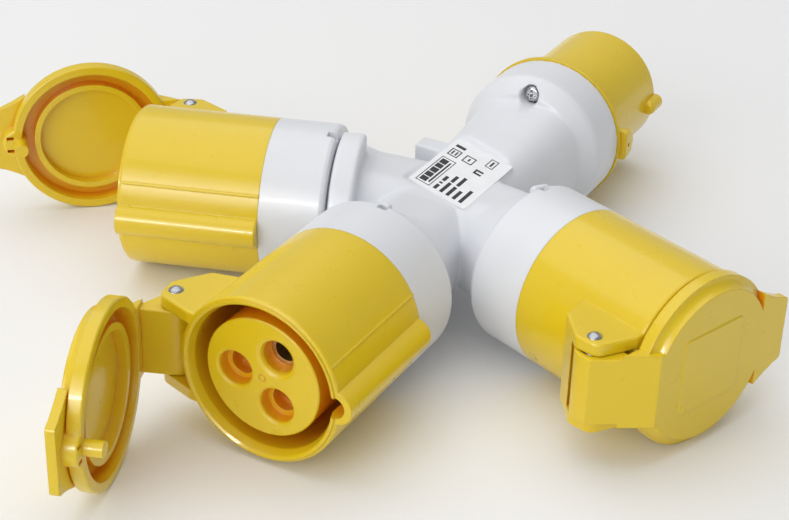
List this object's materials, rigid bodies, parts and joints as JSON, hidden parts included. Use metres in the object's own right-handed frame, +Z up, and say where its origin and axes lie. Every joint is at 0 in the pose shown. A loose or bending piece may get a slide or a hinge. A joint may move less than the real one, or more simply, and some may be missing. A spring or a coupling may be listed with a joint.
{
  "type": "socket splitter adaptor",
  "caption": "Cross-shaped splitter adaptor for round pin-and-sleeve connectors: a shrouded plug feeds sockets that each have a hinged lid, some standing open and some closed",
  "frame": {"origin": "centre of the hub's flat underside, where the arms' axes cross in plan", "axes": "+Y along the plug, out of the adaptor; +Z up, out of the labelled top; +X to the right seen from behind the front socket; the plug and socket axes lie 14 mm above the origin"},
  "size_m": [0.2806, 0.2977, 0.0548],
  "materials": {
    "yellow_plastic": "glossy moulded",
    "white_plastic": "satin moulded",
    "label_vinyl": "matt vinyl",
    "steel": "bright zinc plate",
    "pin_brass": "turned",
    "contact_brass": "turned",
    "rubber_seal": "matt",
    "earth_wire": "wire insulation",
    "line_wire": "wire insulation",
    "neutral_wire": "wire insulation"
  },
  "bodies": {
    "adaptor": {"hub_body": "white_plastic", "hub_label": "label_vinyl", "earth_wires": "earth_wire", "line_wires": "line_wire", "neutral_wires": "neutral_wire", "plug_pin_earth": "pin_brass", "plug_pin_line": "pin_brass", "plug_pin_neutral": "pin_brass", "plug_shroud": "yellow_plastic", "plug_pin_carrier": "yellow_plastic", "plug_gasket": "rubber_seal", "plug_fixing_screws": "steel", "left_housing": "yellow_plastic", "left_insert": "yellow_plastic", "left_terminal_block": "yellow_plastic", "left_collar": "white_plastic", "left_collar_seal": "rubber_seal", "left_terminal_screws": "steel", "left_contact_earth": "contact_brass", "left_contact_line": "contact_brass", "left_contact_neutral": "contact_brass", "left_hinge_pin": "steel", "left_hinge_spring": "steel", "front_housing": "yellow_plastic", "front_insert": "yellow_plastic", "front_terminal_block": "yellow_plastic", "front_collar": "white_plastic", "front_collar_seal": "rubber_seal", "front_terminal_screws": "steel", "front_contact_earth": "contact_brass", "front_contact_line": "contact_brass", "front_contact_neutral": "contact_brass", "front_hinge_pin": "steel", "front_hinge_spring": "steel", "right_housing": "yellow_plastic", "right_insert": "yellow_plastic", "right_terminal_block": "yellow_plastic", "right_collar": "white_plastic", "right_collar_seal": "rubber_seal", "right_terminal_screws": "steel", "right_contact_earth": "contact_brass", "right_contact_line": "contact_brass", "right_contact_neutral": "contact_brass", "right_hinge_pin": "steel", "right_hinge_spring": "steel"},
    "left_lid_body": {"left_lid": "yellow_plastic"},
    "front_lid_body": {"front_lid": "yellow_plastic"},
    "right_lid_body": {"right_lid": "yellow_plastic"}
  },
  "joints": [
    {"name": "left_lid_hinge", "type": "hinge", "parent": "adaptor", "child": "left_lid_body", "pos_m": [-0.10295, -0.00193, 0.014], "axis": [0, 0, 1], "range_deg": [-34, 66]},
    {"name": "front_lid_hinge", "type": "hinge", "parent": "adaptor", "child": "front_lid_body", "pos_m": [-0.0334, -0.1066, 0.014], "axis": [0, 0, 1], "range_deg": [-30, 70]},
    {"name": "right_lid_hinge", "type": "hinge", "parent": "adaptor", "child": "right_lid_body", "pos_m": [0.0801, -0.0647, 0.014], "axis": [0, 0, 1], "range_deg": [-100, 0]}
  ]
}
